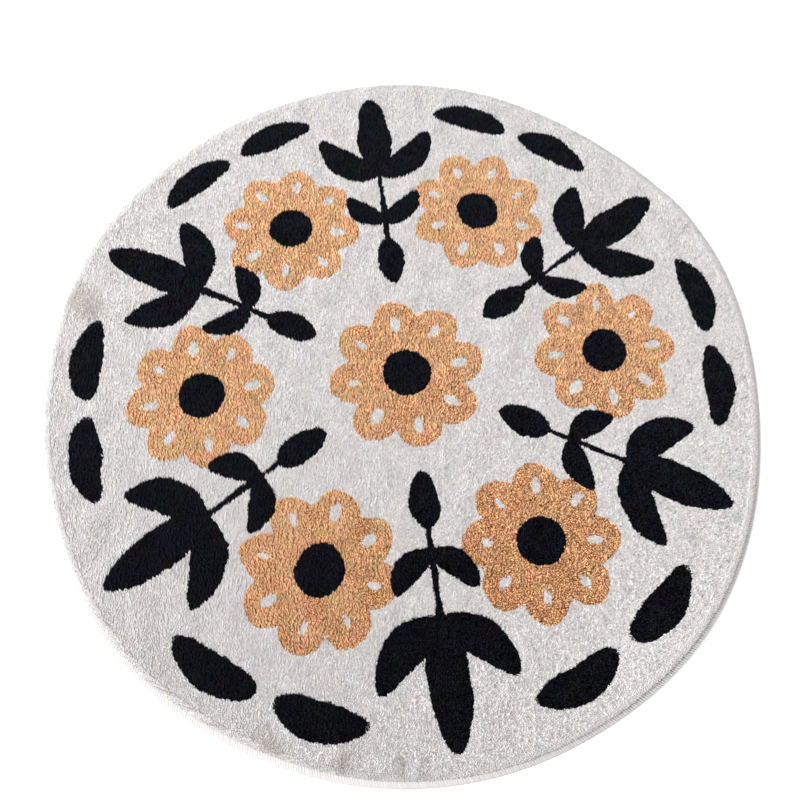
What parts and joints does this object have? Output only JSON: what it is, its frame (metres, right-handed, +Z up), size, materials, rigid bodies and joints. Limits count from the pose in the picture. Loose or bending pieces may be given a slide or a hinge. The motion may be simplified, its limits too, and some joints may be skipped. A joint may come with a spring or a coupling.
{
  "type": "round rug",
  "caption": "Round short-pile floor rug with an overlocked rim, lying flat with low folds.",
  "frame": {"origin": "on the floor under the middle of the rug's outline", "axes": "+Z up, normal to the rug; +Y towards the rug's far side as it lies in view, +X to its right"},
  "size_m": [0.9926, 1.0026, 0.0138],
  "materials": {
    "pile_white": "soft cut pile, off-white, matt",
    "pile_tan": "soft cut pile, warm tan, matt with pale tips",
    "pile_black": "soft cut pile, blue-black, matt",
    "edging_yarn": "overlock yarn, off-white, slightly glossy",
    "woven_back": "plain woven backing, natural"
  },
  "bodies": {
    "root": {"pile_cloth": "pile_white", "overlock_edging": "edging_yarn"}
  },
  "joints": []
}
